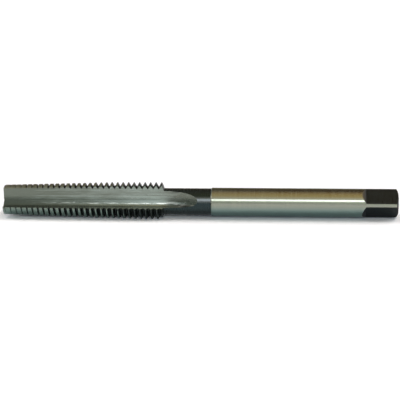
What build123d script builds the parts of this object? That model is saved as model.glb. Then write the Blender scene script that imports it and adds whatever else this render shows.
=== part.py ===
from build123d import *
from math import acos, atan2, ceil, cos, degrees, floor, radians, sin, tan
import os

# Lengths along the tap axis, in order from the cutting end
thread_length = 51.0
neck_length = 14.75
shank_length = 48.65
square_length = 10.1

# Thread, M12 x 1.75 right hand, ground a little over its nominal size
thread_pitch = 1.75
major_diameter = 12.1
thread_angle = 60.0
crest_flat = 0.22
root_flat = 0.11
groove_start = 0.73  # where the first groove crosses the first cutting edge

# Tapered lead, whose crests are ground off so that the tap starts in a drilled nut
lead_length = 35.0
lead_front_diameter = 9.95
lead_relief_drop = 0.24  # how far the crests fall from the cutting edge back to the heel
front_chamfer = 0.3
thread_end_bevel = 0.7

# Flutes, seen from the cutting end; angles count from the front of the tap upwards
flute_count = 3
first_edge_angle = -8.9
flute_angle = 77.8
hook_angle = 8.5
core_diameter = 4.2
back_wall_radius = 7.25
flute_root_radius = 1.2
grinding_wheel_radius = 27.0
run_out_delay = 0.0  # how far past the thread the wheel starts to lift

# Neck and shank
neck_diameter = 8.5
shank_diameter = 9.0
step_chamfer = 0.3

# Driving square
flat_count = 4
square_across_flats = 7.05
square_corner_angle = 6.0
flat_run_out_angle = 38.0  # slope on which each flat runs out into the shank
end_chamfer_length = 0.65
end_chamfer_depth = 1.2
end_chamfer_crown = 0.08  # how far the turned chamfer bulges

# Centre holes that the blank was ground between; the front one is wide enough to break into the flutes
front_centre_diameter = 4.4
rear_centre_diameter = 2.6
centre_angle = 60.0
centre_pilot_diameter = 1.0
centre_pilot_length = 1.0

# Room that a cutter has outside the surface it cuts, ahead of and behind a land in degrees, and in
# grooves cut past each end of the thread
cutter_room = 1.0
cutter_lead_in = 15.0
spare_grooves = 1

# Places along the axis
neck_start = thread_length
shank_start = neck_start + neck_length
square_start = shank_start + shank_length
overall_length = square_start + square_length

# Radii
major_radius = major_diameter / 2
lead_front_radius = lead_front_diameter / 2
neck_radius = neck_diameter / 2
shank_radius = shank_diameter / 2
core_radius = core_diameter / 2
thread_half_slope = tan(radians(thread_angle / 2))
thread_depth = (thread_pitch - crest_flat - root_flat) / (2 * thread_half_slope)
root_radius = major_radius - thread_depth

# Half width of the groove where the cutter ends, a little outside the crests
groove_top_radius = major_radius + crest_flat / (4 * thread_half_slope)
groove_top_half_width = root_flat / 2 + (groove_top_radius - root_radius) * thread_half_slope

# Back wall of a flute: an arc that touches the core and meets the crests at the heel
back_wall_distance = core_radius + back_wall_radius
heel_half_angle = degrees(acos(
    (back_wall_distance**2 + major_radius**2 - back_wall_radius**2)
    / (2 * back_wall_distance * major_radius)
))
back_wall_turn = flute_angle - heel_half_angle
back_wall_centre = (
    back_wall_distance * cos(radians(back_wall_turn)),
    back_wall_distance * sin(radians(back_wall_turn)),
)

# Section of the cutter that mills a flat
flat_height = square_across_flats / 2
flat_cut_top = shank_radius + cutter_room
flat_cut_end = overall_length + cutter_room
flat_run_out = (flat_cut_top - flat_height) / tan(radians(flat_run_out_angle))

# Turn of the grinding wheel that carries it clear of the neck
flute_pitch_angle = 360 / flute_count
flute_end = thread_length + run_out_delay
wheel_clear_height = shank_radius - core_radius + cutter_room
run_out_turn = degrees(acos(1 - wheel_clear_height / grinding_wheel_radius))

# Turn of a cutter that crosses one land, from the flute ahead of it into the flute behind it
land_angle = flute_pitch_angle - flute_angle
land_cut_turn = land_angle + 2 * cutter_lead_in

# The lead is ground about a centre moved sideways, so that its crests fall away behind the edge
lead_slope = (major_radius - lead_front_radius) / lead_length
lead_centre_offset = lead_relief_drop / sin(radians(land_angle))
lead_cut_end = lead_length + (lead_relief_drop + cutter_room) / lead_slope
lead_cut_radius = major_radius + lead_relief_drop + cutter_room


# A plane across the axis, facing the cutting end, whose X points out at the given angle
def across_axis(distance, angle):
    turn = radians(angle)
    return Plane(origin=(distance, 0, 0), x_dir=(0, -cos(turn), sin(turn)), z_dir=(-1, 0, 0))


# A plane along the axis, whose X runs to the square and whose Y points out at the given angle
def along_axis(angle, origin=(0, 0, 0)):
    turn = radians(angle)
    outward = Vector(0, -cos(turn), sin(turn))
    return Plane(origin=origin, x_dir=(1, 0, 0), z_dir=Vector(1, 0, 0).cross(outward))


# Half of a centre hole, as points from its mouth inwards: distance in, radius
def centre_hole(mouth_diameter):
    half_slope = tan(radians(centre_angle / 2))
    pilot_radius = centre_pilot_diameter / 2
    cone_depth = (mouth_diameter / 2 - pilot_radius) / half_slope
    pilot_depth = cone_depth + centre_pilot_length
    return [
        (0, mouth_diameter / 2),
        (cone_depth, pilot_radius),
        (pilot_depth, pilot_radius),
        (pilot_depth + pilot_radius * half_slope, 0),
    ]


front_centre = centre_hole(front_centre_diameter)
rear_centre = [
    (overall_length - depth, radius)
    for depth, radius in centre_hole(rear_centre_diameter)
]

# The two corners of the chamfer on the square's end
chamfer_start = (overall_length - end_chamfer_length, shank_radius)
chamfer_end = (overall_length, shank_radius - end_chamfer_depth)

with BuildPart() as tap:
    # Turned and ground blank, with a centre hole in each end
    with BuildSketch(Plane.XY) as blank_half:
        with BuildLine():
            Polyline(
                *reversed(front_centre),
                (0, lead_front_radius - front_chamfer),
                (front_chamfer + major_radius - lead_front_radius, major_radius),
                (thread_length - thread_end_bevel, major_radius),
                (thread_length, neck_radius),
                (shank_start, neck_radius),
                (shank_start, shank_radius - step_chamfer),
                (shank_start + step_chamfer, shank_radius),
                chamfer_start,
            )
            SagittaArc(chamfer_start, chamfer_end, end_chamfer_crown)
            Polyline(chamfer_end, *rear_centre, front_centre[-1])
        make_face()
    revolve(axis=Axis.X)

    # Flutes, ground straight along the thread and run out into the neck by the wheel
    for flute in range(flute_count):
        edge_angle = first_edge_angle + flute * flute_pitch_angle
        flute_plane = across_axis(flute_end, edge_angle)
        with BuildSketch(flute_plane) as flute_section:
            with Locations(back_wall_centre):
                Circle(back_wall_radius)
            with Locations((major_radius, 0)):
                Rectangle(
                    4 * back_wall_radius,
                    2 * back_wall_radius,
                    rotation=hook_angle,
                    align=(Align.CENTER, Align.MAX),
                    mode=Mode.SUBTRACT,
                )
            root_corner = flute_section.vertices().sort_by(lambda v: Vector(v.X, v.Y).length)[0]
            fillet(root_corner, radius=flute_root_radius)
        extrude(
            flute_section.sketch,
            amount=flute_end + cutter_room,
            mode=Mode.SUBTRACT,
        )
        wheel_plane = across_axis(flute_end, edge_angle + back_wall_turn)
        wheel_centre = wheel_plane.from_local_coords((core_radius + grinding_wheel_radius, 0))
        revolve(
            flute_section.sketch,
            axis=Axis(wheel_centre, wheel_plane.y_dir),
            revolution_arc=-run_out_turn,
            mode=Mode.SUBTRACT,
        )

    # Lead, ground on each land as a long taper that is relieved behind the cutting edge
    for land in range(flute_count):
        edge_angle = first_edge_angle + land * flute_pitch_angle
        lead_centre = across_axis(0, edge_angle).from_local_coords((0, lead_centre_offset))
        with BuildSketch(along_axis(edge_angle + cutter_lead_in, lead_centre)) as lead_cut:
            with BuildLine():
                Polyline(
                    (-cutter_room, lead_front_radius - cutter_room * lead_slope),
                    (lead_cut_end, lead_cut_radius),
                    (-cutter_room, lead_cut_radius),
                    close=True,
                )
            make_face()
        revolve(
            lead_cut.sketch,
            axis=Axis(lead_centre, (1, 0, 0)),
            revolution_arc=land_cut_turn,
            mode=Mode.SUBTRACT,
        )

    # Thread grooves: one short helical cut across each land for every turn of the thread
    with BuildLine(mode=Mode.PRIVATE) as groove_path:
        Helix(
            pitch=thread_pitch,
            height=thread_pitch * land_cut_turn / 360,
            radius=root_radius,
            direction=(1, 0, 0),
        )
    path_start = groove_path.wire() @ 0
    path_outward = Vector(0, path_start.Y, path_start.Z).normalized()
    groove_plane = Plane(
        origin=(0, 0, 0),
        x_dir=(1, 0, 0),
        z_dir=Vector(1, 0, 0).cross(path_outward),
    )
    with BuildSketch(groove_plane) as groove:
        with BuildLine():
            Polyline(
                (-root_flat / 2, root_radius),
                (-groove_top_half_width, groove_top_radius),
                (groove_top_half_width, groove_top_radius),
                (root_flat / 2, root_radius),
                close=True,
            )
        make_face()
    groove_cutter = sweep(
        sections=groove.sketch,
        path=groove_path.wire(),
        is_frenet=True,
        mode=Mode.PRIVATE,
    )
    # A right hand helix moves along by its share of the pitch as it turns about the axis
    path_turn = degrees(atan2(path_outward.Z, path_outward.Y))
    first_edge_turn = 180 - first_edge_angle
    for land in range(flute_count):
        turn_from_edge = -land * flute_pitch_angle - cutter_lead_in
        cutter_turn = first_edge_turn + turn_from_edge - path_turn
        cutter_start = groove_start + thread_pitch * turn_from_edge / 360
        first_groove = floor(-cutter_start / thread_pitch) - spare_grooves
        last_groove = ceil((thread_length - cutter_start) / thread_pitch) + spare_grooves
        with Locations(
            *[
                Location((cutter_start + count * thread_pitch, 0, 0), (cutter_turn, 0, 0))
                for count in range(first_groove, last_groove + 1)
            ]
        ):
            add(groove_cutter, mode=Mode.SUBTRACT)

    # Driving square, whose four flats run out up a slope into the shank
    for flat in range(flat_count):
        flat_plane = along_axis(square_corner_angle + (flat + 0.5) * 360 / flat_count)
        with BuildSketch(flat_plane) as flat_cut:
            with BuildLine():
                Polyline(
                    (square_start, flat_height),
                    (flat_cut_end, flat_height),
                    (flat_cut_end, flat_cut_top),
                    (square_start - flat_run_out, flat_cut_top),
                    close=True,
                )
            make_face()
        extrude(flat_cut.sketch, amount=shank_radius, both=True, mode=Mode.SUBTRACT)

tap.part.label = "nut_tap"
os.makedirs("parts", exist_ok=True)
export_step(tap.part, "parts/nut_tap.step")
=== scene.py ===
import bmesh
import bpy
from math import acos, atan2, ceil, cos, degrees, pi, radians, sin, sqrt, tan
from mathutils import Matrix, Vector


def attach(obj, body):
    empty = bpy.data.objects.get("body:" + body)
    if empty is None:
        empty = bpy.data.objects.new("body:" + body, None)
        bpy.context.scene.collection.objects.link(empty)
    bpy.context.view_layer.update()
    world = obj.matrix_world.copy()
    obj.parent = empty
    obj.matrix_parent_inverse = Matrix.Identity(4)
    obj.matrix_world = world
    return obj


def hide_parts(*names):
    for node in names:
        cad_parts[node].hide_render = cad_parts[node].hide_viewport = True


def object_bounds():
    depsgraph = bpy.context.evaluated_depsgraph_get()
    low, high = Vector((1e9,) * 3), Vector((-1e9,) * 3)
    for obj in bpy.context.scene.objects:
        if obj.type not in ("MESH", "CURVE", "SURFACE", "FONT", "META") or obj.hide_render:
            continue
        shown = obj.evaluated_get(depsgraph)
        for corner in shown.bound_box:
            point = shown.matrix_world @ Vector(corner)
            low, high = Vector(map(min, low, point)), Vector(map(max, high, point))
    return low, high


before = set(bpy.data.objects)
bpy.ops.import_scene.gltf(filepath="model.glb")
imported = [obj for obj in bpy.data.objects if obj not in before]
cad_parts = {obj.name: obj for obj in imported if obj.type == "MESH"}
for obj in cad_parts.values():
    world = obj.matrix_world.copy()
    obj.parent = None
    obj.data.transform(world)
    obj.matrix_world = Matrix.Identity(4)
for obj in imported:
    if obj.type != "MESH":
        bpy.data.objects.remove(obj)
cadLow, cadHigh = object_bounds()
print("frame loaded")

mm = 0.001


def srgb(hexColour):
    # an sRGB hex value as the linear colour that a socket takes
    parts = [int(hexColour[i:i + 2], 16) / 255 for i in (1, 3, 5)]
    return [p / 12.92 if p <= 0.04045 else ((p + 0.055) / 1.055) ** 2.4 for p in parts] + [1.0]


def addNode(tree, kind, inputs=None, **settings):
    # adds a node, gives it its settings, and links or sets its inputs by name or number
    made = tree.nodes.new(kind)
    for name, value in settings.items():
        setattr(made, name, value)
    for key, value in (inputs or {}).items():
        if hasattr(value, "is_linked"):
            tree.links.new(value, made.inputs[key])
        else:
            made.inputs[key].default_value = value
    return made


def addObject(name, data):
    made = bpy.data.objects.new(name, data)
    bpy.context.scene.collection.objects.link(made)
    return made


# Sizes of the tap in millimetres and degrees, as the frame has them. Lengths run from the cutting
# end to the square, and the angle of a place counts from the front of the tap upwards.
tap = {
    "thread end": 51.0,
    "shank start": 65.75,
    "square start": 114.4,
    "overall length": 124.5,
    "pitch": 1.75,
    "major radius": 6.05,
    "crest flat": 0.22,
    "root flat": 0.11,
    "thread slope": tan(radians(30)),  # of each flank of its 60 degree groove
    "first groove": 0.73,  # where a groove crosses the first cutting edge
    "flute count": 3,
    "first edge angle": -8.9,
    "flute angle": 77.8,
    "hook angle": 8.5,
    "core radius": 2.1,
    "back wall radius": 7.25,
    "flute root radius": 1.2,
    "wheel radius": 27.0,
    "lead length": 35.0,
    "lead front radius": 4.975,
    "lead relief drop": 0.24,  # how far the crests fall from the cutting edge to the heel
    "front chamfer": 0.3,
    "thread end bevel": 0.7,
    "neck radius": 4.25,
    "shank radius": 4.5,
    "step chamfer": 0.3,
    "flat count": 4,
    "flat height": 3.525,
    "flat corner angle": 6.0,
    "flat run out angle": 38.0,
    "end chamfer length": 0.65,
    "end chamfer depth": 1.2,
    "end chamfer crown": 0.08,
    "front centre radius": 2.2,
    "rear centre radius": 1.3,
    "centre half angle": 30.0,
    "centre pilot radius": 0.5,
    "centre pilot length": 1.0,
    # how far the cutters reach past what they cut
    "cutter room": 1.0,
    "cutter lead in": 15.0,  # in degrees, before and after a land
    "flat cutter width": 0.9,  # half of it, as a share of the flat's height
    "groove overlap": 0.1,
    "spare turns": 2,  # of the groove, at each end of the thread
    "margin": 0.01,
    # how finely each shape is divided
    "blank points": 192,
    "crown shares": (0, 0.17, 0.33, 0.5, 0.67, 0.83, 1),  # along the end chamfer
    "groove points": 96,  # in each turn of the thread
    "wall steps": 110,
    "root steps": 14,
    "straight steps": 30,
    "lift steps": 28,
    "lead steps": 48,
    "flat sides": (-1, -0.5, 0, 0.5, 1),  # across the cutter of a flat
    "sharp angle": 28.0,  # an edge that bends more than this looks sharp
}


def outward(angle):
    # the direction out of the axis at an angle
    turn = radians(angle)
    return Vector((0, -cos(turn), sin(turn)))


def sideways(angle):
    # the direction in which a point at that angle would turn on
    turn = radians(angle)
    return Vector((0, sin(turn), cos(turn)))


def arcBetween(centre, radius, first, last, steps):
    # points on the arc that turns forwards from the direction of one point to that of another
    start, end = (atan2(p.y - centre.y, p.x - centre.x) for p in (first, last))
    sweep = (end - start) % (2 * pi)
    turns = [start + sweep * i / steps for i in range(steps + 1)]
    return [(centre.x + radius * cos(turn), centre.y + radius * sin(turn)) for turn in turns]


def closedObject(name, verts, faces):
    mesh = bpy.data.meshes.new(name)
    mesh.from_pydata(verts, [], faces)
    solid = bmesh.new()
    solid.from_mesh(mesh)
    bmesh.ops.recalc_face_normals(solid, faces=solid.faces)
    solid.to_mesh(mesh)
    solid.free()
    return addObject(name, mesh)


def sweptSolid(name, rings):
    # rings of points that follow each other, capped at both ends
    size = len(rings[0])
    last = (len(rings) - 1) * size
    verts = [p for ring in rings for p in ring]
    faces = [tuple(range(size)), tuple(range(last, last + size))]
    for a in range(0, last, size):
        for j in range(size):
            k = (j + 1) % size
            faces.append((a + j, a + k, a + size + k, a + size + j))
    return closedObject(name, verts, faces)


def spunSolid(name, rings):
    # half sections that follow each other all the way round, with both their ends on the axis
    inner = len(rings[0]) - 2
    verts = [rings[0][0]] + [p for ring in rings for p in ring[1:-1]] + [rings[0][-1]]
    last = len(verts) - 1
    faces = []
    for i in range(len(rings)):
        a, b = 1 + i * inner, 1 + (i + 1) % len(rings) * inner
        faces.append((0, b, a))
        faces.append((a + inner - 1, b + inner - 1, last))
        for j in range(inner - 1):
            faces.append((a + j, b + j, b + j + 1, a + j + 1))
    return closedObject(name, verts, faces)


def blankSolid(sizes):
    # the turned blank: a half section spun about the axis
    end = sizes["overall length"]
    pilot, slope = sizes["centre pilot radius"], tan(radians(sizes["centre half angle"]))

    def centreHole(mouth):
        cone = (mouth - pilot) / slope
        depth = cone + sizes["centre pilot length"]
        return [(0, mouth), (cone, pilot), (depth, pilot), (depth + pilot * slope, 0)]

    chamferStart = Vector((end - sizes["end chamfer length"], sizes["shank radius"]))
    chamferEnd = Vector((end, sizes["shank radius"] - sizes["end chamfer depth"]))
    outside = Vector((chamferStart.y - chamferEnd.y, chamferEnd.x - chamferStart.x)).normalized()
    height = sizes["end chamfer crown"]
    crown = [
        tuple(chamferStart.lerp(chamferEnd, t) + outside * 4 * t * (1 - t) * height)
        for t in sizes["crown shares"]
    ]
    major, front = sizes["major radius"], sizes["lead front radius"]
    half = [
        *reversed(centreHole(sizes["front centre radius"])),
        (0, front - sizes["front chamfer"]),
        (sizes["front chamfer"] + major - front, major),
        (sizes["thread end"] - sizes["thread end bevel"], major),
        (sizes["thread end"], sizes["neck radius"]),
        (sizes["shank start"], sizes["neck radius"]),
        (sizes["shank start"], sizes["shank radius"] - sizes["step chamfer"]),
        (sizes["shank start"] + sizes["step chamfer"], sizes["shank radius"]),
        *crown,
        *[(end - x, r) for x, r in centreHole(sizes["rear centre radius"])],
    ]
    rings = []
    for i in range(sizes["blank points"]):
        out = outward(360 * i / sizes["blank points"])
        rings.append([Vector((x, 0, 0)) + out * r for x, r in half])
    return spunSolid("blank", rings)


def fluteSection(sizes):
    # the flute in a plane across the axis, whose first direction points out through the edge
    major, core, wall = sizes["major radius"], sizes["core radius"], sizes["back wall radius"]
    distance = core + wall
    heelHalf = degrees(acos((distance ** 2 + major ** 2 - wall ** 2) / (2 * distance * major)))
    wallTurn = sizes["flute angle"] - heelHalf
    wallCentre = Vector((distance * cos(radians(wallTurn)), distance * sin(radians(wallTurn))))
    hook = radians(sizes["hook angle"])
    along, up = Vector((cos(hook), sin(hook))), Vector((-sin(hook), cos(hook)))
    edge = Vector((major, 0))

    def onLine(lift, radius, side):
        # where the rake line, lifted by some height, is that far from the back wall's centre
        start = edge + up * lift
        base = start - wallCentre
        b = base.dot(along)
        return start + along * (-b + side * sqrt(b * b - base.length_squared + radius * radius))

    root = sizes["flute root radius"]
    rootCentre = onLine(root, wall - root, -1)
    onRake = rootCentre - up * root
    farEnd = onLine(0, wall, 1)
    onWall = wallCentre + (rootCentre - wallCentre).normalized() * wall
    points = arcBetween(wallCentre, wall, farEnd, onWall, sizes["wall steps"])
    points += arcBetween(rootCentre, root, onWall, onRake, sizes["root steps"])[1:]
    return points, wallTurn


def fluteCutter(sizes):
    # the wheel's cut: straight along the thread, then lifted out of the neck on the wheel's arc
    section, wallTurn = fluteSection(sizes)
    edgeAngle = sizes["first edge angle"]
    out, side = outward(edgeAngle), sideways(edgeAngle)
    wheelOut, wheelSide = outward(edgeAngle + wallTurn), sideways(edgeAngle + wallTurn)
    points = [out * u + side * v for u, v in section]
    start, end = -sizes["cutter room"], sizes["thread end"]
    straight, lifts = sizes["straight steps"], sizes["lift steps"]
    rings = [
        [Vector((start + (end - start) * i / straight, 0, 0)) + p for p in points]
        for i in range(straight + 1)
    ]
    far = sizes["core radius"] + sizes["wheel radius"]
    clear = sizes["shank radius"] - sizes["core radius"] + sizes["cutter room"]
    turn = acos(1 - clear / sizes["wheel radius"])
    for i in range(1, lifts + 1):
        a = turn * i / lifts
        ring = []
        for p in points:
            height = far - p.dot(wheelOut)
            ring.append(
                Vector((end + height * sin(a), 0, 0))
                + wheelOut * (far - height * cos(a))
                + wheelSide * p.dot(wheelSide)
            )
        rings.append(ring)
    return sweptSolid("fluteCutter", rings)


def leadCutter(sizes):
    # the taper of the lead, ground about a centre moved sideways so that the crests fall away
    # behind the edge
    edgeAngle = sizes["first edge angle"]
    landAngle = 360 / sizes["flute count"] - sizes["flute angle"]
    sweep = landAngle + 2 * sizes["cutter lead in"]
    frontRadius = sizes["lead front radius"]
    slope = (sizes["major radius"] - frontRadius) / sizes["lead length"]
    drop, room = sizes["lead relief drop"], sizes["cutter room"]
    cutEnd = sizes["lead length"] + (drop + room) / slope
    cutRadius = sizes["major radius"] + drop + room
    centre = sideways(edgeAngle) * (drop / sin(radians(landAngle)))
    half = [(-room, frontRadius - room * slope), (cutEnd, cutRadius), (-room, cutRadius)]
    rings = []
    for i in range(sizes["lead steps"] + 1):
        out = outward(edgeAngle + sizes["cutter lead in"] - sweep * i / sizes["lead steps"])
        rings.append([Vector((x, 0, 0)) + centre + out * r for x, r in half])
    return sweptSolid("leadCutter", rings)


def flatCutter(sizes):
    # the milling cutter of one flat, which runs out up a slope into the shank
    angle = sizes["flat corner angle"] + 180 / sizes["flat count"]
    room, height = sizes["cutter room"], sizes["flat height"]
    start, end = sizes["square start"], sizes["overall length"] + room
    top = sizes["shank radius"] + room
    runOut = (top - height) / tan(radians(sizes["flat run out angle"]))
    half = [(start, height), (end, height), (end, top), (start - runOut, top)]
    out, side = outward(angle), sideways(angle)
    width = height * sizes["flat cutter width"]
    rings = [
        [Vector((x, 0, 0)) + out * r + side * width * s for x, r in half]
        for s in sizes["flat sides"]
    ]
    return sweptSolid("flatCutter", rings)


def makeTapTree():
    # subtracts the lead, the thread groove, the flutes and the flats from the blank, then gives
    # each zone its finish
    zones = ("blank", "lead", "groove", "flute", "flat")
    inputNames = {
        "Geometry": ("Geometry",),
        "Object": ("Flute Cutter", "Lead Cutter", "Flat Cutter"),
        "Int": ("Flute Count", "Flat Count", "Turns", "Points Per Turn"),
        "Float": (
            "Pitch", "Groove Start", "Groove Root Radius", "Groove Root Width",
            "Groove Top Radius", "Groove Top Width", "Thread Start", "Thread End", "Shank Start",
            "Chamfer Start", "Square End", "Sharp Angle",
        ),
        "Material": (
            "Ground Steel", "Flute Steel", "Thread Steel", "Crest Steel", "Black Oxide",
            "Oiled Oxide",
        ),
    }
    tree = bpy.data.node_groups.new("tapBody", "GeometryNodeTree")
    for kind, names in inputNames.items():
        for name in names:
            tree.interface.new_socket(name, in_out="INPUT", socket_type="NodeSocket" + kind)
    tree.interface.new_socket("Geometry", in_out="OUTPUT", socket_type="NodeSocketGeometry")
    inputs = addNode(tree, "NodeGroupInput").outputs

    def marked(geometry, zone):
        # the cut faces keep the number of the cutter that made them
        return addNode(tree, "GeometryNodeStoreNamedAttribute", {
            "Geometry": geometry, "Name": "zone", "Value": float(zones.index(zone)),
        }, domain="FACE").outputs[0]

    def cutterRing(cutter, count):
        # copies of one cutter spaced evenly round the axis
        info = addNode(tree, "GeometryNodeObjectInfo", {"Object": inputs[cutter]})
        copies = addNode(tree, "GeometryNodeMeshLine", {
            "Count": inputs[count], "Offset": (0, 0, 0),
        })
        index = addNode(tree, "GeometryNodeInputIndex")
        share = addNode(tree, "ShaderNodeMath", {
            0: -2 * pi, 1: inputs[count],
        }, operation="DIVIDE")
        turn = addNode(tree, "ShaderNodeMath", {
            0: share.outputs[0], 1: index.outputs[0],
        }, operation="MULTIPLY")
        about = addNode(tree, "ShaderNodeCombineXYZ", {0: turn.outputs[0]})
        placed = addNode(tree, "GeometryNodeInstanceOnPoints", {
            "Points": copies.outputs[0], "Instance": info.outputs["Geometry"],
            "Rotation": about.outputs[0],
        })
        return addNode(tree, "GeometryNodeRealizeInstances", {0: placed.outputs[0]}).outputs[0]

    def threadGroove():
        # one right-hand helical groove along the whole thread, swept by a trapezoid
        height = addNode(tree, "ShaderNodeMath", {
            0: inputs["Turns"], 1: inputs["Pitch"],
        }, operation="MULTIPLY")
        helix = addNode(tree, "GeometryNodeCurveSpiral", {
            "Resolution": inputs["Points Per Turn"], "Rotations": inputs["Turns"],
            "Height": height.outputs[0], "Start Radius": inputs["Groove Root Radius"],
            "End Radius": inputs["Groove Root Radius"], "Reverse": True,
        })
        upright = addNode(tree, "GeometryNodeSetCurveNormal", {0: helix.outputs[0]}, mode="Z_UP")
        reach = addNode(tree, "ShaderNodeMath", {
            0: inputs["Groove Top Radius"], 1: inputs["Groove Root Radius"],
        }, operation="SUBTRACT")
        corners = {}
        for name, out in (("Root", 0.0), ("Top", reach.outputs[0])):
            for side in (-0.5, 0.5):
                half = addNode(tree, "ShaderNodeMath", {
                    0: inputs[f"Groove {name} Width"], 1: side,
                }, operation="MULTIPLY")
                corner = addNode(tree, "ShaderNodeCombineXYZ", {0: out, 1: half.outputs[0]})
                corners[name, side] = corner.outputs[0]
        section = addNode(tree, "GeometryNodeCurvePrimitiveQuadrilateral", {
            "Point 1": corners["Root", -0.5], "Point 2": corners["Top", -0.5],
            "Point 3": corners["Top", 0.5], "Point 4": corners["Root", 0.5],
        }, mode="POINTS")
        groove = addNode(tree, "GeometryNodeCurveToMesh", {
            "Curve": upright.outputs[0], "Profile Curve": section.outputs[0], "Fill Caps": True,
        })
        start = addNode(tree, "ShaderNodeCombineXYZ", {0: inputs["Groove Start"]})
        return addNode(tree, "GeometryNodeTransform", {
            0: groove.outputs[0], "Translation": start.outputs[0], "Rotation": (0, pi / 2, 0),
        }).outputs[0]

    body = marked(inputs["Geometry"], "blank")
    for zone, cutter in (
        ("lead", cutterRing("Lead Cutter", "Flute Count")),
        ("groove", threadGroove()),
        ("flute", cutterRing("Flute Cutter", "Flute Count")),
        ("flat", cutterRing("Flat Cutter", "Flat Count")),
    ):
        body = addNode(tree, "GeometryNodeMeshBoolean", {
            0: body, 1: marked(cutter, zone),
        }, operation="DIFFERENCE", solver="MANIFOLD").outputs[0]

    tolerance = 0.1  # the numbers of two zones are at least 1 apart

    # an edge is soft where it bends little and both its faces come from the same cut: on an edge
    # the mean of the squares then equals the square of the mean
    zone = addNode(tree, "GeometryNodeInputNamedAttribute", {
        "Name": "zone",
    }, data_type="FLOAT").outputs[0]
    squared = addNode(tree, "ShaderNodeMath", {0: zone, 1: zone}, operation="MULTIPLY").outputs[0]
    faceMean = addNode(tree, "GeometryNodeFieldOnDomain", {
        0: squared,
    }, domain="FACE", data_type="FLOAT")
    change = addNode(tree, "ShaderNodeMath", {
        0: faceMean.outputs[0], 1: squared,
    }, operation="SUBTRACT")
    sameCut = addNode(tree, "FunctionNodeCompare", {
        0: change.outputs[0], 1: tolerance,
    }, operation="LESS_THAN")
    angle = addNode(tree, "GeometryNodeInputMeshEdgeAngle")
    slight = addNode(tree, "FunctionNodeCompare", {
        0: angle.outputs[0], 1: inputs["Sharp Angle"],
    }, operation="LESS_THAN")
    soft = addNode(tree, "FunctionNodeBooleanMath", {0: slight.outputs[0], 1: sameCut.outputs[0]})
    for domain, smooth in (("FACE", True), ("EDGE", soft.outputs[0])):
        body = addNode(tree, "GeometryNodeSetShadeSmooth", {
            0: body, "Shade Smooth": smooth,
        }, domain=domain).outputs[0]

    place = addNode(tree, "GeometryNodeInputPosition")
    along = addNode(tree, "ShaderNodeSeparateXYZ", {0: place.outputs[0]}).outputs[0]

    def isZone(name):
        return addNode(tree, "FunctionNodeCompare", {
            0: zone, 1: float(zones.index(name)), "Epsilon": tolerance,
        }, operation="EQUAL").outputs[0]

    def onBlank(start, end):
        # the blank's own surface between two places along the tap
        chosen = isZone("blank")
        for limit, side in ((start, "GREATER_THAN"), (end, "LESS_THAN")):
            inside = addNode(tree, "FunctionNodeCompare", {0: along, 1: limit}, operation=side)
            chosen = addNode(tree, "FunctionNodeBooleanMath", {
                0: chosen, 1: inside.outputs[0],
            }).outputs[0]
        return chosen

    body = addNode(tree, "GeometryNodeRealizeInstances", {0: body}).outputs[0]
    for selection, material in (
        (True, "Ground Steel"),
        (onBlank(inputs["Thread Start"], inputs["Thread End"]), "Thread Steel"),
        (isZone("lead"), "Crest Steel"),
        (onBlank(inputs["Thread End"], inputs["Shank Start"]), "Oiled Oxide"),
        (onBlank(inputs["Chamfer Start"], inputs["Square End"]), "Black Oxide"),
        (isZone("groove"), "Thread Steel"),
        (isZone("flute"), "Flute Steel"),
        (isZone("flat"), "Black Oxide"),
    ):
        body = addNode(tree, "GeometryNodeSetMaterial", {
            0: body, "Selection": selection, "Material": inputs[material],
        }).outputs[0]
    addNode(tree, "NodeGroupOutput", {0: body})
    return tree


def newMaterial(name, look):
    # what is the same all over a surface goes to the shader's own sockets
    material = bpy.data.materials.new(name)
    material.use_nodes = True
    tree = material.node_tree
    shader = tree.nodes["Principled BSDF"]
    for socket, value in look["sockets"].items():
        shader.inputs[socket].default_value = value
    return material, tree, shader


def placeOnTap(tree):
    # a point's own x, y and z on the tap, in metres
    place = addNode(tree, "ShaderNodeTexCoord").outputs["Object"]
    return addNode(tree, "ShaderNodeSeparateXYZ", {0: place}).outputs


grain = {
    "roughness": 0.6,
    "reach": (0.3, 0.7),  # a noise keeps between these nearly everywhere
}


def stretchedNoise(tree, place, scales, detail):
    spot = addNode(tree, "ShaderNodeMapping", {"Vector": place, "Scale": scales}).outputs[0]
    return addNode(tree, "ShaderNodeTexNoise", {
        "Vector": spot, "Scale": 1.0, "Detail": detail, "Roughness": grain["roughness"],
    }).outputs[0]


def lengthwiseMarks(tree, along, across, detail=4.0):
    # marks that run along the tap, from their length and width in millimetres
    place = addNode(tree, "ShaderNodeTexCoord").outputs["Object"]
    scales = (1 / (along * mm), 1 / (across * mm), 1 / (across * mm))
    return stretchedNoise(tree, place, scales, detail)


def roundMarks(tree, along, turns, detail=4.0):
    # marks that run round the tap: their width in millimetres, and how often they change in a turn
    x, y, z = placeOnTap(tree)
    turn = addNode(tree, "ShaderNodeMath", {0: z, 1: y}, operation="ARCTAN2").outputs[0]
    sine = addNode(tree, "ShaderNodeMath", {0: turn}, operation="SINE").outputs[0]
    cosine = addNode(tree, "ShaderNodeMath", {0: turn}, operation="COSINE").outputs[0]
    spot = addNode(tree, "ShaderNodeCombineXYZ", {0: x, 1: sine, 2: cosine}).outputs[0]
    return stretchedNoise(tree, spot, (1 / (along * mm), turns, turns), detail)


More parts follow.
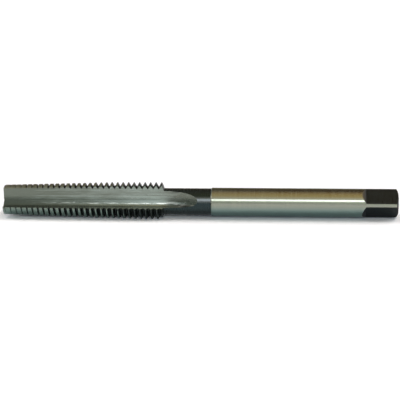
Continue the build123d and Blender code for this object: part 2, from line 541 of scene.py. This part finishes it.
def finishSurface(tree, shader, marks, look):
    # gives a surface its two tones, its range of roughness and its relief in millimetres from
    # one pattern of marks
    low, high = grain["reach"]
    share = addNode(tree, "ShaderNodeMapRange", {
        "Value": marks, "From Min": low, "From Max": high,
    }).outputs[0]
    first, second = look["tones"]
    tone = addNode(tree, "ShaderNodeMix", {
        0: share, 6: srgb(first), 7: srgb(second),
    }, data_type="RGBA").outputs[2]
    first, second = look["roughness"]
    rough = addNode(tree, "ShaderNodeMapRange", {
        "Value": share, "To Min": first, "To Max": second,
    }).outputs[0]
    tree.links.new(tone, shader.inputs["Base Color"])
    tree.links.new(rough, shader.inputs["Roughness"])
    if "depth" in look:
        relief = addNode(tree, "ShaderNodeBump", {
            "Height": marks, "Distance": look["depth"] * mm,
        }).outputs[0]
        tree.links.new(relief, shader.inputs["Normal"])
    return tone


def spreadLight(tree, shader, roundGrain):
    # grinding marks spread the light across themselves: along the axis for round marks, else
    # round the axis
    axis = addNode(tree, "ShaderNodeCombineXYZ", {0: 1.0}).outputs[0]
    if not roundGrain:
        normal = addNode(tree, "ShaderNodeNewGeometry").outputs["Normal"]
        axis = addNode(tree, "ShaderNodeVectorMath", {
            0: axis, 1: normal,
        }, operation="CROSS_PRODUCT").outputs[0]
    tree.links.new(axis, shader.inputs["Tangent"])


def paintUndersideReflection(tree, shader, tone, look):
    # paints the underside in another tint, a painted reflection of the shaded floor below: none
    # above one height, all of it below the other
    colour, high, low = look["tint"]
    reflectionShare = addNode(tree, "ShaderNodeMapRange", {
        "Value": placeOnTap(tree)[2], "From Min": high * mm, "From Max": low * mm,
    }).outputs[0]
    tinted = addNode(tree, "ShaderNodeMix", {
        0: reflectionShare, 6: tone, 7: srgb(colour),
    }, data_type="RGBA").outputs[2]
    tree.links.new(tinted, shader.inputs["Base Color"])


# A finish has its tones and roughness from the lows of its marks to their highs, the depth of the
# marks in millimetres, and a tint painted on its underside as the floor's reflection, which comes
# in from one height to another.

# High speed steel, cylindrically ground: the eye sees a bright, even satin with barely visible
# rings. Real grit marks are 0.01 mm apart, drawn coarser so that they show.
groundLook = {
    "sockets": {"Metallic": 1.0, "Anisotropic": 0.45},
    "rings": (0.35, 0.6),
    "tones": ("#878b80", "#919586"),
    "roughness": (0.18, 0.25),
    "depth": 0.00012,
    # painted reflection: the underside darker and teal, as the shaded floor it mirrors
    "tint": ("#758985", 0.2, -1.7),
}


def groundSteel(look):
    material, tree, shader = newMaterial("groundSteel", look)
    tone = finishSurface(tree, shader, roundMarks(tree, *look["rings"]), look)
    paintUndersideReflection(tree, shader, tone, look)
    spreadLight(tree, shader, True)
    return material


# The same steel, ground lengthwise by the flute wheel: a cool satin with streaks along the tap.
# Light scratches along the root are painted near white as the strip's highlight there, a line
# beside them is painted duller as shade, the lower side of the run-out is painted dark as shade,
# and the steel is painted darker towards the cutting end as shade. Angles count from the root.
fluteLook = {
    "sockets": {"Metallic": 0.85, "Anisotropic": 0.6},  # a thin dull film of dried oil lies on it
    "streaks": (30.0, 0.35, 5.0),  # length, width and detail, as in the next ones
    "waves": (6.0, 1.2, 2.0),
    "share of waves": 0.35,
    "tones": ("#6b7268", "#acb9b3"),
    "roughness": (0.22, 0.34),
    "depth": 0.006,
    # what changes along the tap: from and to these places, from and to these amounts
    "along": {
        # painted shade: the flute steel darker towards the cutting end, as its darker reflection
        "darker front": (0.0, 45.0, -0.3, 0.0),
        "run-out": (48.0, 56.0, 0.0, 1.0),
        "scratch highlights": (8.0, 18.0, 0.0, 0.55),
        "scratch highlights' end": (55.5, 58.5, 1.0, 0.0),
        # painted shade: the lower side of the run-out darkened
        "runOutShade": (53.0, 58.0, 0.0, 1.0),
        "line": (16.0, 36.0, 0.0, 1.0),
    },
    # the middle of the scratches painted as highlight, and how far from it there are none and all
    # of them: in the flute, and at the run-out
    "scratch highlights at": {"middle": (-1, 3), "none": (7, 13), "all": (1.5, 5)},
    "wander": (5.0, 40.0, 1.0),
    "wander angle": 5,
    "wisps": (2.6, 0.3, 3.0),
    "wisps shown": (0.47, 0.54),
    "stronger at run-out": 0.45,
    "denser at run-out": 0.08,
    "haze at run-out": 0.75,
    # painted shade: a duller line beside the root that dims the strip's highlight
    "line angle": 17,
    "line width": (22, 13),
    "line strength": 0.4,
    "runOutShade angles": (2, -8),
    "runOutShade roughness": 0.65,
    # painted shade colour of that line
    "line colour": "#59625f",
    "haze colour": "#5d5f54",
    # partly painted highlight: the scratches' near white stands in for the strip's reflection
    "scratch highlight colour": "#e8ede9",
    # painted shade colour of the run-out's lower side
    "runOutShade colour": "#2a2e2c",
}


def fluteSteel(look):
    material, tree, shader = newMaterial("fluteSteel", look)
    x, y, z = placeOnTap(tree)
    share = {}
    for name, (start, end, low, high) in look["along"].items():
        share[name] = addNode(tree, "ShaderNodeMapRange", {
            "Value": x, "From Min": start * mm, "From Max": end * mm,
            "To Min": low, "To Max": high,
        }).outputs[0]
    streaks = lengthwiseMarks(tree, *look["streaks"])
    waves = lengthwiseMarks(tree, *look["waves"])
    marks = addNode(tree, "ShaderNodeMix", {
        0: look["share of waves"], 2: streaks, 3: waves,
    }).outputs[0]
    marks = addNode(tree, "ShaderNodeMath", {
        0: marks, 1: share["darker front"],
    }, operation="ADD").outputs[0]
    tone = finishSurface(tree, shader, marks, look)
    spreadLight(tree, shader, False)

    # the angle about the axis, counted afresh for each flute, whose root lies near 0
    toFront = addNode(tree, "ShaderNodeMath", {0: y, 1: -1.0}, operation="MULTIPLY").outputs[0]
    turn = addNode(tree, "ShaderNodeMath", {0: z, 1: toFront}, operation="ARCTAN2").outputs[0]
    local = addNode(tree, "ShaderNodeMath", {
        0: turn, 1: pi / tap["flute count"], 2: -pi / tap["flute count"],
    }, operation="WRAP").outputs[0]

    # scratches, painted near white as the strip's highlight: a wandering band beside the root,
    # which widens at the run-out
    spread = {}
    for name, (inFlute, atRunOut) in look["scratch highlights at"].items():
        spread[name] = addNode(tree, "ShaderNodeMapRange", {
            "Value": share["run-out"], "To Min": radians(inFlute), "To Max": radians(atRunOut),
        }).outputs[0]
    low, high = grain["reach"]
    wander = addNode(tree, "ShaderNodeMapRange", {
        "Value": lengthwiseMarks(tree, *look["wander"]), "From Min": low, "From Max": high,
        "To Min": radians(-look["wander angle"]), "To Max": radians(look["wander angle"]),
    }).outputs[0]
    fromRoot = addNode(tree, "ShaderNodeMath", {
        0: local, 1: wander,
    }, operation="ADD").outputs[0]
    fromRoot = addNode(tree, "ShaderNodeMath", {
        0: fromRoot, 1: spread["middle"],
    }, operation="SUBTRACT").outputs[0]
    fromRoot = addNode(tree, "ShaderNodeMath", {0: fromRoot}, operation="ABSOLUTE").outputs[0]
    nearRoot = addNode(tree, "ShaderNodeMapRange", {
        "Value": fromRoot, "From Min": spread["none"], "From Max": spread["all"],
    }).outputs[0]
    growing = addNode(tree, "ShaderNodeMath", {
        0: share["run-out"], 1: look["stronger at run-out"], 2: share["scratch highlights"],
    }, operation="MULTIPLY_ADD").outputs[0]
    wisps = addNode(tree, "ShaderNodeMath", {
        0: share["run-out"], 1: look["denser at run-out"],
        2: lengthwiseMarks(tree, *look["wisps"]),
    }, operation="MULTIPLY_ADD").outputs[0]
    low, high = look["wisps shown"]
    shown = addNode(tree, "ShaderNodeMapRange", {
        "Value": wisps, "From Min": low, "From Max": high,
    }).outputs[0]
    # the scratches, painted near white as the strip's highlight along the root
    scratchHighlight = nearRoot
    for factor in (growing, share["scratch highlights' end"], shown):
        scratchHighlight = addNode(tree, "ShaderNodeMath", {
            0: scratchHighlight, 1: factor,
        }, operation="MULTIPLY").outputs[0]

    # the painted shade on the lower side of the run-out, the haze there, and the painted shade
    # line that dims the highlight beside the root
    # painted shade: the lower side of the run-out, darkened and made rougher over its highlight
    start, end = look["runOutShade angles"]
    lower = addNode(tree, "ShaderNodeMapRange", {
        "Value": local, "From Min": radians(start), "From Max": radians(end),
    }).outputs[0]
    runOutShade = addNode(tree, "ShaderNodeMath", {
        0: lower, 1: share["runOutShade"],
    }, operation="MULTIPLY").outputs[0]
    haze = addNode(tree, "ShaderNodeMath", {
        0: share["run-out"], 1: look["haze at run-out"],
    }, operation="MULTIPLY").outputs[0]
    # painted shade: a line beside the root, dulled to dim the strip's highlight
    offLine = addNode(tree, "ShaderNodeMath", {
        0: local, 1: radians(look["line angle"]),
    }, operation="SUBTRACT").outputs[0]
    offLine = addNode(tree, "ShaderNodeMath", {0: offLine}, operation="ABSOLUTE").outputs[0]
    start, end = look["line width"]
    onLine = addNode(tree, "ShaderNodeMapRange", {
        "Value": offLine, "From Min": radians(start), "From Max": radians(end),
        "To Max": look["line strength"],
    }).outputs[0]
    line = addNode(tree, "ShaderNodeMath", {
        0: onLine, 1: share["line"],
    }, operation="MULTIPLY").outputs[0]

    # mixes in the painted shade line, the haze, the scratches painted as highlight and the
    # run-out's painted shade
    for amount, name in ((line, "line"), (haze, "haze"), (scratchHighlight, "scratch highlight"), (runOutShade, "runOutShade")):
        tone = addNode(tree, "ShaderNodeMix", {
            0: amount, 6: tone, 7: srgb(look[name + " colour"]),
        }, data_type="RGBA").outputs[2]
    clean = shader.inputs["Roughness"].links[0].from_socket
    rough = addNode(tree, "ShaderNodeMix", {
        0: runOutShade, 2: clean, 3: look["runOutShade roughness"],
    }).outputs[0]
    tree.links.new(tone, shader.inputs["Base Color"])
    tree.links.new(rough, shader.inputs["Roughness"])
    return material


# Ground thread flanks, painted dark as the shade in the grooves between the teeth
threadLook = {
    "sockets": {"Metallic": 1.0},
    "mottle": (0.9, 0.9),
    "tones": ("#1c1e1b", "#32352f"),
    "roughness": (0.34, 0.5),
    # painted reflection: the underside lighter and teal, as the floor it mirrors
    "tint": ("#3f4745", 2.0, 0.5),
}


def threadSteel(look):
    material, tree, shader = newMaterial("threadSteel", look)
    tone = finishSurface(tree, shader, lengthwiseMarks(tree, *look["mottle"]), look)
    paintUndersideReflection(tree, shader, tone, look)
    return material


# Thread crests, ground round the lands and left a little brown
crestLook = {
    "sockets": {"Metallic": 1.0},
    "rings": (0.45, 1.5),
    "tones": ("#66644f", "#8c9082"),
    "roughness": (0.28, 0.4),
    # painted reflection: the underside teal, as the floor it mirrors
    "tint": ("#73857e", 0.0, -1.8),
}


def crestSteel(look):
    material, tree, shader = newMaterial("crestSteel", look)
    tone = finishSurface(tree, shader, roundMarks(tree, *look["rings"]), look)
    paintUndersideReflection(tree, shader, tone, look)
    return material


# Steam-oxidised steel: a black film with an oily half gloss. On the upper side of the slopes
# that lead up to the shank, brown is painted in as the reflection of the warm light above.
blackLook = {
    "sockets": {"Metallic": 0.0, "Specular IOR Level": 0.18},
    "rings": (0.5, 1.0),
    "tones": ("#0e1312", "#161b1a"),
    "roughness": (0.26, 0.4),
    "depth": 0.0008,
    # painted reflection: the brown of the warm light above, on the upper slopes
    "brown": "#473c22",
    "brown until": (113.1, 114.3),  # along the tap: from all to none
    "brown above": (0.2, 1.4),  # in height: from none to all
    # painted reflection: the underside dark teal, as the floor it mirrors
    "tint": ("#0c1417", 0.0, -1.0),
}


def blackOxide(look):
    material, tree, shader = newMaterial("blackOxide", look)
    tone = finishSurface(tree, shader, roundMarks(tree, *look["rings"]), look)
    place = placeOnTap(tree)
    # painted reflection: brown on the upper side of the slopes up to the shank
    start, end = look["brown until"]
    slope = addNode(tree, "ShaderNodeMapRange", {
        "Value": place[0], "From Min": start * mm, "From Max": end * mm,
        "To Min": 1.0, "To Max": 0.0,
    }).outputs[0]
    low, high = look["brown above"]
    upper = addNode(tree, "ShaderNodeMapRange", {
        "Value": place[2], "From Min": low * mm, "From Max": high * mm,
    }).outputs[0]
    warmReflectionShare = addNode(tree, "ShaderNodeMath", {0: slope, 1: upper}, operation="MULTIPLY").outputs[0]
    tone = addNode(tree, "ShaderNodeMix", {
        0: warmReflectionShare, 6: tone, 7: srgb(look["brown"]),
    }, data_type="RGBA").outputs[2]
    paintUndersideReflection(tree, shader, tone, look)
    return material


# The same film on the neck, painted blacker above as shade and lighter and cooler below as the
# floor's reflection, with a bluish gloss. A strip of dried oil lies on it along the upper side,
# like a coat of varnish.
oiledLook = {
    "sockets": {
        "Metallic": 0.0, "Specular IOR Level": 0.52, "Specular Tint": srgb("#c4ecf2"),
        "Coat Roughness": 0.28, "Coat IOR": 1.8,
    },
    "rings": (0.35, 1.0),
    "tones": ("#060605", "#0a0a08"),
    "roughness": (0.2, 0.32),
    "depth": 0.0008,
    # painted shade and reflection: lighter and cooler below, the tones above kept darker
    "tint": ("#151817", 2.8, 1.6),
    "oil from": (0.6, 1.3),  # in height: from none to all
    "oil to": (2.0, 2.7),  # in height: from all to none
}


def oiledOxide(look):
    material, tree, shader = newMaterial("oiledOxide", look)
    tone = finishSurface(tree, shader, roundMarks(tree, *look["rings"]), look)
    paintUndersideReflection(tree, shader, tone, look)
    height = placeOnTap(tree)[2]
    low, high = look["oil from"]
    below = addNode(tree, "ShaderNodeMapRange", {
        "Value": height, "From Min": low * mm, "From Max": high * mm,
    }).outputs[0]
    low, high = look["oil to"]
    above = addNode(tree, "ShaderNodeMapRange", {
        "Value": height, "From Min": low * mm, "From Max": high * mm, "To Min": 1.0, "To Max": 0.0,
    }).outputs[0]
    oil = addNode(tree, "ShaderNodeMath", {0: above, 1: below}, operation="MINIMUM").outputs[0]
    tree.links.new(oil, shader.inputs["Coat Weight"])
    return material


def cutTap(sizes):
    # builds the tap in millimetres and returns it as one plain mesh in metres
    blank = blankSolid(sizes)
    flute, lead, flat = fluteCutter(sizes), leadCutter(sizes), flatCutter(sizes)
    pitch, rootFlat, slope = sizes["pitch"], sizes["root flat"], sizes["thread slope"]
    depth = (pitch - sizes["crest flat"] - rootFlat) / (2 * slope)
    rootRadius = sizes["major radius"] - depth
    topRadius = sizes["major radius"] + sizes["groove overlap"]
    # the helix starts at the bottom of the tap, a part of a turn on from the first cutting edge
    startAtBottom = sizes["first groove"] + pitch * (sizes["first edge angle"] + 90) / 360
    values = {
        "Flute Cutter": flute,
        "Lead Cutter": lead,
        "Flat Cutter": flat,
        "Flute Count": sizes["flute count"],
        "Flat Count": sizes["flat count"],
        "Turns": ceil(sizes["thread end"] / pitch) + 2 * sizes["spare turns"],
        "Points Per Turn": sizes["groove points"],
        "Pitch": pitch,
        "Groove Start": startAtBottom - sizes["spare turns"] * pitch,
        "Groove Root Radius": rootRadius,
        "Groove Root Width": rootFlat,
        "Groove Top Radius": topRadius,
        "Groove Top Width": rootFlat + 2 * (topRadius - rootRadius) * slope,
        "Thread Start": sizes["margin"],
        "Thread End": sizes["thread end"],
        "Shank Start": sizes["shank start"] + sizes["margin"],
        "Chamfer Start": sizes["overall length"] - sizes["end chamfer length"],
        "Square End": sizes["overall length"] + sizes["margin"],
        "Sharp Angle": radians(sizes["sharp angle"]),
        "Ground Steel": groundSteel(groundLook),
        "Flute Steel": fluteSteel(fluteLook),
        "Thread Steel": threadSteel(threadLook),
        "Crest Steel": crestSteel(crestLook),
        "Black Oxide": blackOxide(blackLook),
        "Oiled Oxide": oiledOxide(oiledLook),
    }
    print("blank, cutters and finishes made")
    tree = makeTapTree()
    cut = blank.modifiers.new("cut", "NODES")
    cut.node_group = tree
    for item in tree.interface.items_tree:
        if item.in_out == "INPUT" and item.name in values:
            cut[item.identifier] = values[item.name]
    evaluated = blank.evaluated_get(bpy.context.evaluated_depsgraph_get())
    mesh = bpy.data.meshes.new_from_object(evaluated)
    mesh.attributes.remove(mesh.attributes["zone"])
    mesh.transform(Matrix.Scale(mm, 4))
    blank.modifiers.remove(cut)
    for used in (blank, flute, lead, flat):
        bpy.data.objects.remove(used)
    print("tap cut from its blank:", len(mesh.vertices), "points")
    return addObject("tapBody", mesh)


body = cutTap(tap)
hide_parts("nut_tap")
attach(body, "root")


# The camera, fitted to the thread's pitch and the outlines of the shank and neck
camera = {
    "target": Vector((62.25, 0, 0)),
    "distance": 456.66,
    "turn": 3.18,
    "height angle": 16.4,
    "roll": -0.447,
    "focal length in pixels": 1443.3,
    "image width": 400,
    "target pixel": (200.10, 201.67),
    "sensor": 36.0,
    "clip in metres": (0.01, 100),
}


def addCamera(sizes):
    turn, lift, roll = (radians(sizes[name]) for name in ("turn", "height angle", "roll"))
    forward = Vector((-sin(turn) * cos(lift), cos(turn) * cos(lift), -sin(lift)))
    level = Vector((cos(turn), sin(turn), 0))
    upright = level.cross(forward)
    right = level * cos(roll) + upright * sin(roll)
    up = upright * cos(roll) - level * sin(roll)
    place = sizes["target"] - forward * sizes["distance"]
    # aim so that the target falls on its pixel, without a shift
    focal, middle = sizes["focal length in pixels"], sizes["image width"] / 2
    across, down = (p - middle for p in sizes["target pixel"])
    aim = (forward - right * across / focal + up * down / focal).normalized()
    right = (right - aim * right.dot(aim)).normalized()
    up = right.cross(aim)
    data = bpy.data.cameras.new("camera")
    data.sensor_width = sizes["sensor"]
    data.lens = focal * sizes["sensor"] / sizes["image width"]
    data.clip_start, data.clip_end = sizes["clip in metres"]
    made = addObject("camera", data)
    facing = Matrix((right, up, -aim)).transposed().to_4x4()
    made.matrix_world = Matrix.Translation(place * mm) @ facing
    bpy.context.scene.camera = made


addCamera(camera)
print("camera set")


# The studio, in metres and degrees. Its colours are linear, as some are brighter than white.
studio = {
    "floor size": 60.0,
    "floor colour": "#e0e2e2",
    "floor seen": (0.99, 1.02, 1.09),  # so that the lit floor comes out white
    "strip height angle": 30.6,
    "strip distance": 0.8,
    "strip offset": 0.125,
    "strip size": (0.35, 0.18),
    "strip radiance": 5.2,
    "strip colour": (0.97, 1.0, 1.07),
    # what stands before, over and behind the tap: degrees from the front horizon, and the colour
    "band": (
        (0, (0.92, 0.97, 0.88)),
        (9, (0.83, 0.88, 0.78)),
        (17, (1.18, 1.24, 1.16)),
        (40, (1.02, 0.95, 0.84)),
        (50, (1.3, 1.12, 0.86)),
        (60, (1.1, 0.84, 0.46)),
        (69, (1.02, 0.73, 0.29)),
        (88, (0.74, 0.47, 0.15)),
        (108, (0.28, 0.15, 0.045)),
        (120, (0.12, 0.065, 0.016)),
        (134, (0.06, 0.035, 0.01)),
        (148, (0.20, 0.155, 0.09)),
        (180, (0.36, 0.33, 0.27)),
    ),
    # the part of that band towards the cutting end, which the flutes mirror
    "left band": (
        (0, (0.76, 0.82, 0.75)),
        (9, (0.36, 0.41, 0.38)),
        (17, (0.60, 0.65, 0.62)),
        (40, (0.70, 0.76, 0.72)),
        (60, (0.75, 0.8, 0.75)),
        (110, (0.7, 0.75, 0.7)),
        (130, (0.4, 0.4, 0.34)),
        (148, (0.22, 0.165, 0.11)),
        (180, (0.32, 0.29, 0.23)),
    ),
    # the same to the left and right of that band
    "sides": (
        (0, (0.16, 0.22, 0.2)),
        (35, (0.16, 0.22, 0.2)),
        (50, (0.19, 0.25, 0.25)),
        (74, (0.19, 0.25, 0.25)),
        (92, (3.3, 3.1, 2.95)),
        (120, (3.3, 3.1, 2.95)),
        (138, (0.3, 0.33, 0.35)),
        (180, (0.3, 0.33, 0.35)),
    ),
    # by the x of a direction: the band's middle, how far from it the band gives way to the sides,
    # and where its left part takes over
    "band middle": -0.05,
    "band width": (0.24, 0.36),
    "left edge": (-0.06, -0.1),
    # towards the cutting end the wall in front is darker: between these values of x, down to this
    # share, and up to these degrees
    "front fall": (-0.2, -0.08),
    "front share": 0.3,
    "front edge": (95, 130),
    "low white": (0.095, 0.15),  # by the z of a direction: white below, the walls above
}


def seenDirectly(tree):
    # 1 for what the camera sees itself, in metal or through glass
    path = addNode(tree, "ShaderNodeLightPath").outputs
    seen = path["Is Camera Ray"]
    for name in ("Is Glossy Ray", "Is Transmission Ray"):
        seen = addNode(tree, "ShaderNodeMath", {
            0: seen, 1: path[name],
        }, operation="MAXIMUM").outputs[0]
    return seen


def addFloor(sizes, height):
    material = bpy.data.materials.new("paleFloor")
    material.use_nodes = True
    tree = material.node_tree
    tree.nodes.remove(tree.nodes["Principled BSDF"])
    tone = addNode(tree, "ShaderNodeMix", {
        0: seenDirectly(tree), 6: srgb(sizes["floor colour"]), 7: (*sizes["floor seen"], 1.0),
    }, data_type="RGBA")
    matt = addNode(tree, "ShaderNodeBsdfDiffuse", {"Color": tone.outputs[2]})
    tree.links.new(matt.outputs[0], tree.nodes["Material Output"].inputs[0])
    half = sizes["floor size"] / 2
    mesh = bpy.data.meshes.new("floor")
    corners = [(x * half, y * half, height) for x, y in ((-1, -1), (1, -1), (1, 1), (-1, 1))]
    mesh.from_pydata(corners, [], [(0, 1, 2, 3)])
    mesh.materials.append(material)
    addObject("floor", mesh)


def wallColours(tree, share, stops):
    # a ramp over the half turn from the front horizon, over the top, to the back horizon
    ramp = addNode(tree, "ShaderNodeValToRGB", {0: share})
    elements = ramp.color_ramp.elements
    while len(elements) < len(stops):
        elements.new(1.0)
    for element, (where, colour) in zip(elements, stops):
        element.position = where / 180
        element.color = (*colour, 1.0)
    return ramp.outputs[0]


def addRoom(sizes):
    # a band of wall and ceiling across the tap that its metal mirrors, plainer walls to its sides
    world = bpy.data.worlds.new("studio")
    bpy.context.scene.world = world
    world.use_nodes = True
    tree = world.node_tree
    direction = addNode(tree, "ShaderNodeTexCoord").outputs["Generated"]
    x, y, z = addNode(tree, "ShaderNodeSeparateXYZ", {0: direction}).outputs
    toFront = addNode(tree, "ShaderNodeMath", {0: y, 1: -1.0}, operation="MULTIPLY").outputs[0]
    angle = addNode(tree, "ShaderNodeMath", {0: z, 1: toFront}, operation="ARCTAN2").outputs[0]
    share = addNode(tree, "ShaderNodeMath", {0: angle, 1: pi}, operation="DIVIDE").outputs[0]

    low, high = sizes["front fall"]
    fall = addNode(tree, "ShaderNodeMapRange", {
        "Value": x, "From Min": low, "From Max": high,
        "To Min": sizes["front share"], "To Max": 1.0,
    }, interpolation_type="SMOOTHSTEP").outputs[0]
    low, high = (degree / 180 for degree in sizes["front edge"])
    ahead = addNode(tree, "ShaderNodeMapRange", {
        "Value": share, "From Min": low, "From Max": high, "To Min": 1.0, "To Max": 0.0,
    }).outputs[0]
    dimming = addNode(tree, "ShaderNodeMix", {0: ahead, 2: 1.0, 3: fall}).outputs[0]
    low, high = sizes["left edge"]
    toLeft = addNode(tree, "ShaderNodeMapRange", {
        "Value": x, "From Min": low, "From Max": high,
    }).outputs[0]
    middle = addNode(tree, "ShaderNodeMix", {
        0: toLeft, 6: wallColours(tree, share, sizes["band"]),
        7: wallColours(tree, share, sizes["left band"]),
    }, data_type="RGBA").outputs[2]
    band = addNode(tree, "ShaderNodeVectorMath", {
        0: middle, "Scale": dimming,
    }, operation="SCALE").outputs[0]

    offMiddle = addNode(tree, "ShaderNodeMath", {
        0: x, 1: sizes["band middle"],
    }, operation="SUBTRACT").outputs[0]
    distance = addNode(tree, "ShaderNodeMath", {0: offMiddle}, operation="ABSOLUTE").outputs[0]
    low, high = sizes["band width"]
    aside = addNode(tree, "ShaderNodeMapRange", {
        "Value": distance, "From Min": low, "From Max": high,
    }, interpolation_type="SMOOTHSTEP").outputs[0]
    walls = addNode(tree, "ShaderNodeMix", {
        0: aside, 6: band, 7: wallColours(tree, share, sizes["sides"]),
    }, data_type="RGBA").outputs[2]
    low, high = sizes["low white"]
    upper = addNode(tree, "ShaderNodeMapRange", {
        "Value": z, "From Min": low, "From Max": high,
    }).outputs[0]
    tone = addNode(tree, "ShaderNodeMix", {
        0: upper, 6: (1, 1, 1, 1), 7: walls,
    }, data_type="RGBA").outputs[2]
    tree.links.new(tone, tree.nodes["Background"].inputs[0])


def addStrip(sizes):
    # one long soft light in front of the tap, higher than the camera
    lift = radians(sizes["strip height angle"])
    data = bpy.data.lights.new("strip", "AREA")
    data.shape = "RECTANGLE"
    data.size, data.size_y = sizes["strip size"]
    data.energy = sizes["strip radiance"] * pi * data.size * data.size_y
    data.color = sizes["strip colour"]
    made = addObject("strip", data)
    outDirection = Vector((sizes["strip offset"], -cos(lift), sin(lift)))
    made.location = camera["target"] * mm + outDirection * sizes["strip distance"]
    made.rotation_euler = (pi / 2 - lift, 0, 0)


addFloor(studio, cadLow.z)
addRoom(studio)
addStrip(studio)
bpy.context.scene.view_settings.view_transform = "Standard"
print("studio ready")
